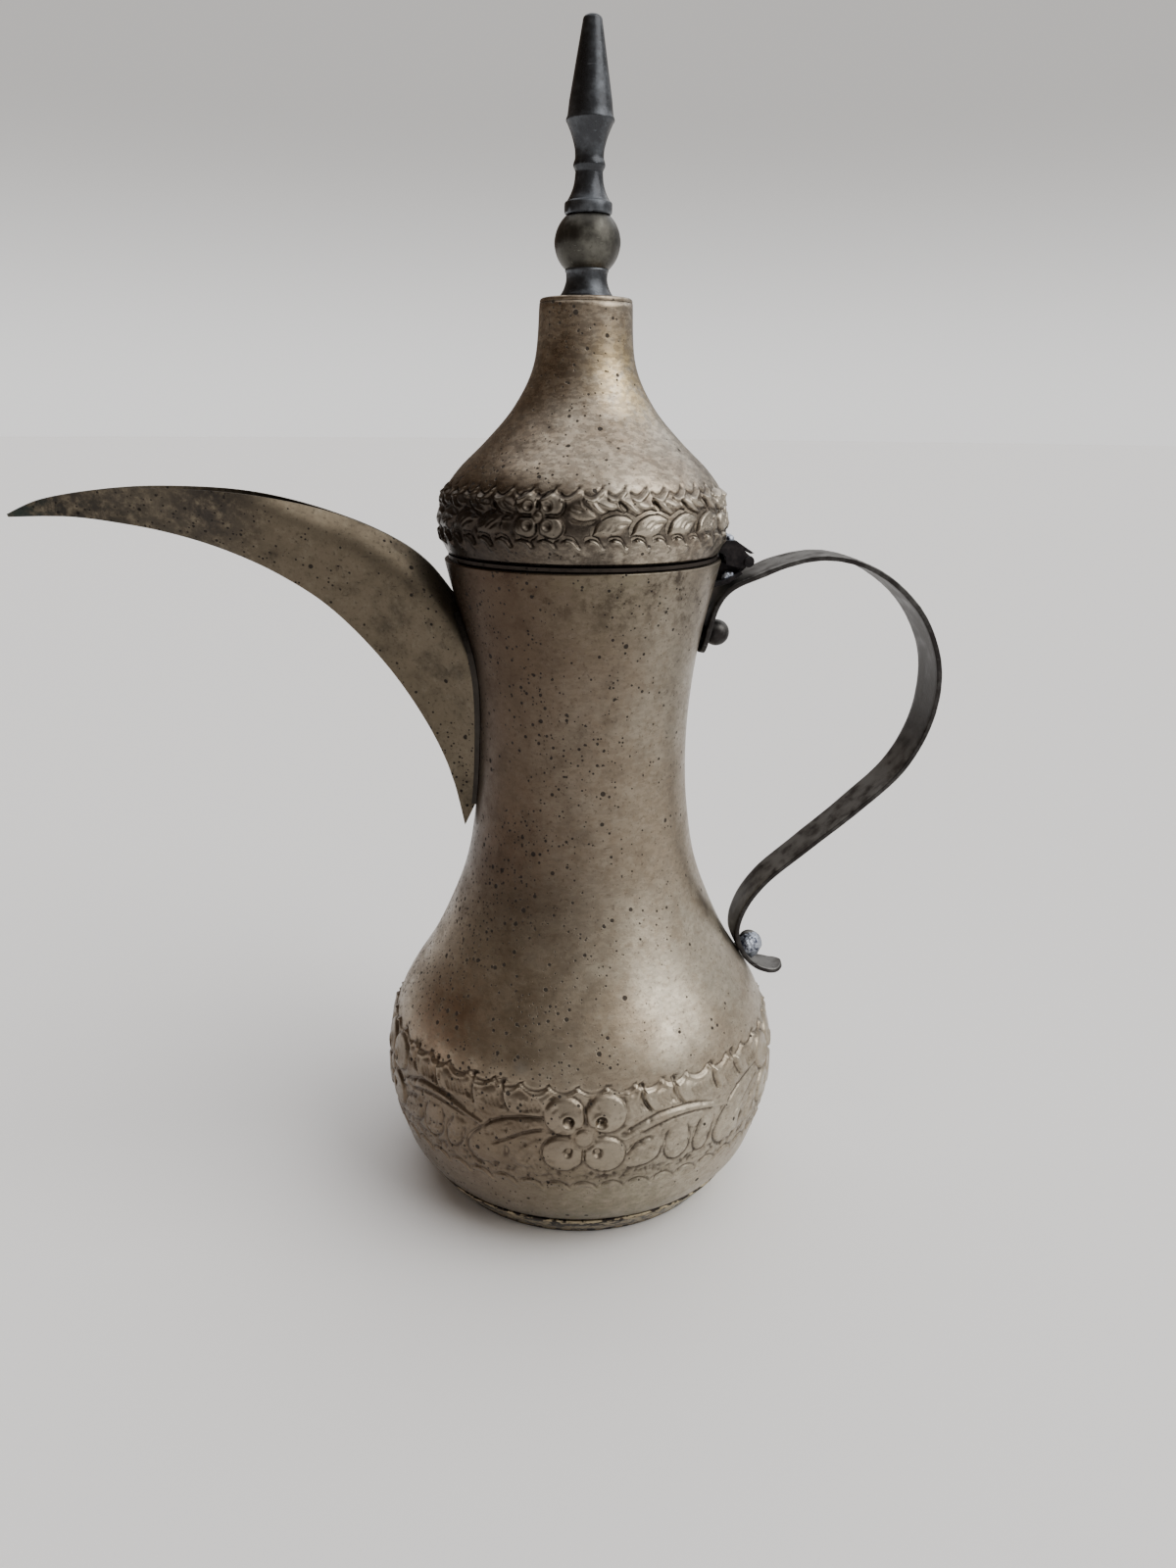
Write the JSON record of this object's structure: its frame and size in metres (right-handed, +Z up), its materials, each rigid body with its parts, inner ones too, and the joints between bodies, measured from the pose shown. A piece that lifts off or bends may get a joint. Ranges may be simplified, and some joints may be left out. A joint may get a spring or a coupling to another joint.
{
  "type": "dallah coffee pot",
  "caption": "Footed metal coffee pot with a narrow waist, a crescent beak spout, a strap handle and a hinged domed lid with a turned spire finial.",
  "frame": {"origin": "the pot's axis, on the plane of the foot's underside", "axes": "+Z up along the pot's axis, -X towards the spout, +X towards the handle, +Y across"},
  "size_m": [0.2551, 0.1186, 0.32],
  "materials": {
    "pot_metal": "satin nickel brass, tarnished and pitted",
    "foot_metal": "satin nickel brass, heavily pitted",
    "lid_metal": "satin nickel brass, browned",
    "spout_metal": "dull stained nickel brass",
    "dark_steel": "blackened steel",
    "hinge_steel": "blackened steel, rough",
    "finial_steel": "blackened steel, turned",
    "solder": "lumpy bright solder"
  },
  "bodies": {
    "pot": {"body_shell": "pot_metal", "foot_ring": "foot_metal", "base_disc": "foot_metal", "spout_cheek_left": "spout_metal", "spout_cheek_right": "spout_metal", "spout_keel_seam": "solder", "spout_crown_seam": "solder", "spout_solder": "solder", "handle_strap": "dark_steel", "upper_rivet": "dark_steel", "lower_rivet": "dark_steel", "lower_rivet_solder": "solder", "body_hinge_lug": "hinge_steel", "body_hinge_solder": "solder", "hinge_pin": "hinge_steel"},
    "lid": {"lid_shell": "lid_metal", "lid_collar": "lid_metal", "neck_cap": "lid_metal", "finial_pedestal": "finial_steel", "finial_ball": "finial_steel", "finial_spire": "finial_steel", "finial_stud": "finial_steel", "finial_washer": "finial_steel", "finial_nut": "finial_steel", "lid_hinge_leaf": "hinge_steel", "lid_hinge_solder": "solder"}
  },
  "joints": [
    {"name": "lid_hinge", "type": "hinge", "parent": "pot", "child": "lid", "pos_m": [0.0454, 0, 0.188], "axis": [0, 1, 0], "range_deg": [0, 104]}
  ]
}
